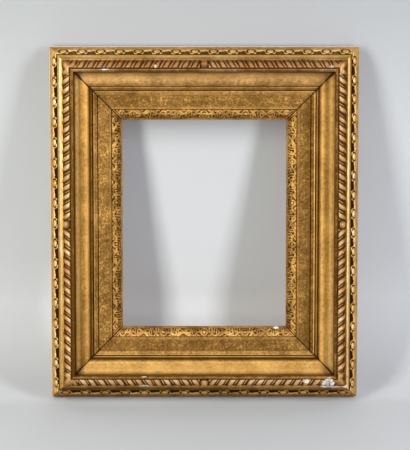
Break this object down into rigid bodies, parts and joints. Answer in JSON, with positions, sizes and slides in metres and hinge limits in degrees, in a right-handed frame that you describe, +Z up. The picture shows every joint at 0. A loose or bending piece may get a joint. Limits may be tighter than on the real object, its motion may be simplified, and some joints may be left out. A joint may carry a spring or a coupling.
{
  "type": "picture frame",
  "caption": "Ornate gilded picture frame with ribbon, rope and leaf ornament round a hollow cove and sanded frieze, with a rebate, turn buttons and ring hangers behind.",
  "frame": {"origin": "middle of the wall plane that the back edge of the rim touches", "axes": "+Z up, +X to the right as seen from the front, front towards -Y, wall towards +Y"},
  "size_m": [0.362, 0.046, 0.4128],
  "materials": {
    "gilt_wood": "satin",
    "gilt_ornament": "satin",
    "pine": "matte",
    "brass": "satin",
    "iron": "matte"
  },
  "bodies": {
    "frame": {"back_frame_bottom": "pine", "back_frame_left": "pine", "back_frame_right": "pine", "back_frame_top": "pine", "cove_bottom": "gilt_wood", "cove_left": "gilt_wood", "cove_right": "gilt_wood", "cove_top": "gilt_wood", "hanger_screws": "iron", "hanger_strap_left": "brass", "hanger_strap_right": "brass", "lap_nails": "iron", "leaf_strip_bottom": "gilt_ornament", "leaf_strip_left": "gilt_ornament", "leaf_strip_right": "gilt_ornament", "leaf_strip_top": "gilt_ornament", "liner_bottom": "gilt_wood", "liner_brads": "iron", "liner_left": "gilt_wood", "liner_right": "gilt_wood", "liner_top": "gilt_wood", "ribbon_bottom": "gilt_ornament", "ribbon_left": "gilt_ornament", "ribbon_right": "gilt_ornament", "ribbon_top": "gilt_ornament", "rim_bottom": "gilt_wood", "rim_left": "gilt_wood", "rim_right": "gilt_wood", "rim_top": "gilt_wood", "rope_bottom_a": "gilt_ornament", "rope_bottom_b": "gilt_ornament", "rope_button_bottom": "gilt_ornament", "rope_button_left": "gilt_ornament", "rope_button_right": "gilt_ornament", "rope_button_top": "gilt_ornament", "rope_leaf_bottom_left": "gilt_ornament", "rope_leaf_bottom_right": "gilt_ornament", "rope_leaf_top_left": "gilt_ornament", "rope_leaf_top_right": "gilt_ornament", "rope_left_a": "gilt_ornament", "rope_left_b": "gilt_ornament", "rope_right_a": "gilt_ornament", "rope_right_b": "gilt_ornament", "rope_top_a": "gilt_ornament", "rope_top_b": "gilt_ornament", "turn_button_screws": "iron"},
    "top_button": {"turn_button_top": "brass"},
    "bottom_button": {"turn_button_bottom": "brass"},
    "upper_left_button": {"turn_button_upper_left": "brass"},
    "lower_left_button": {"turn_button_lower_left": "brass"},
    "upper_right_button": {"turn_button_upper_right": "brass"},
    "lower_right_button": {"turn_button_lower_right": "brass"},
    "left_ring": {"hanger_ring_left": "brass"},
    "right_ring": {"hanger_ring_right": "brass"}
  },
  "joints": [
    {"name": "top_button_turn", "type": "hinge", "parent": "frame", "child": "top_button", "pos_m": [0, -0.006, 0.136], "axis": [0, 1, 0], "continuous": true},
    {"name": "bottom_button_turn", "type": "hinge", "parent": "frame", "child": "bottom_button", "pos_m": [0, -0.006, -0.136], "axis": [0, 1, 0], "continuous": true},
    {"name": "upper_left_button_turn", "type": "hinge", "parent": "frame", "child": "upper_left_button", "pos_m": [-0.1106, -0.006, 0.07], "axis": [0, 1, 0], "continuous": true},
    {"name": "lower_left_button_turn", "type": "hinge", "parent": "frame", "child": "lower_left_button", "pos_m": [-0.1106, -0.006, -0.07], "axis": [0, 1, 0], "continuous": true},
    {"name": "upper_right_button_turn", "type": "hinge", "parent": "frame", "child": "upper_right_button", "pos_m": [0.1106, -0.006, 0.07], "axis": [0, 1, 0], "continuous": true},
    {"name": "lower_right_button_turn", "type": "hinge", "parent": "frame", "child": "lower_right_button", "pos_m": [0.1106, -0.006, -0.07], "axis": [0, 1, 0], "continuous": true},
    {"name": "left_ring_swing", "type": "hinge", "parent": "frame", "child": "left_ring", "pos_m": [-0.13497, -0.0034, 0.06], "axis": [1, 0, 0], "range_deg": [0, 180]},
    {"name": "right_ring_swing", "type": "hinge", "parent": "frame", "child": "right_ring", "pos_m": [0.13497, -0.0034, 0.06], "axis": [1, 0, 0], "range_deg": [0, 180]}
  ]
}
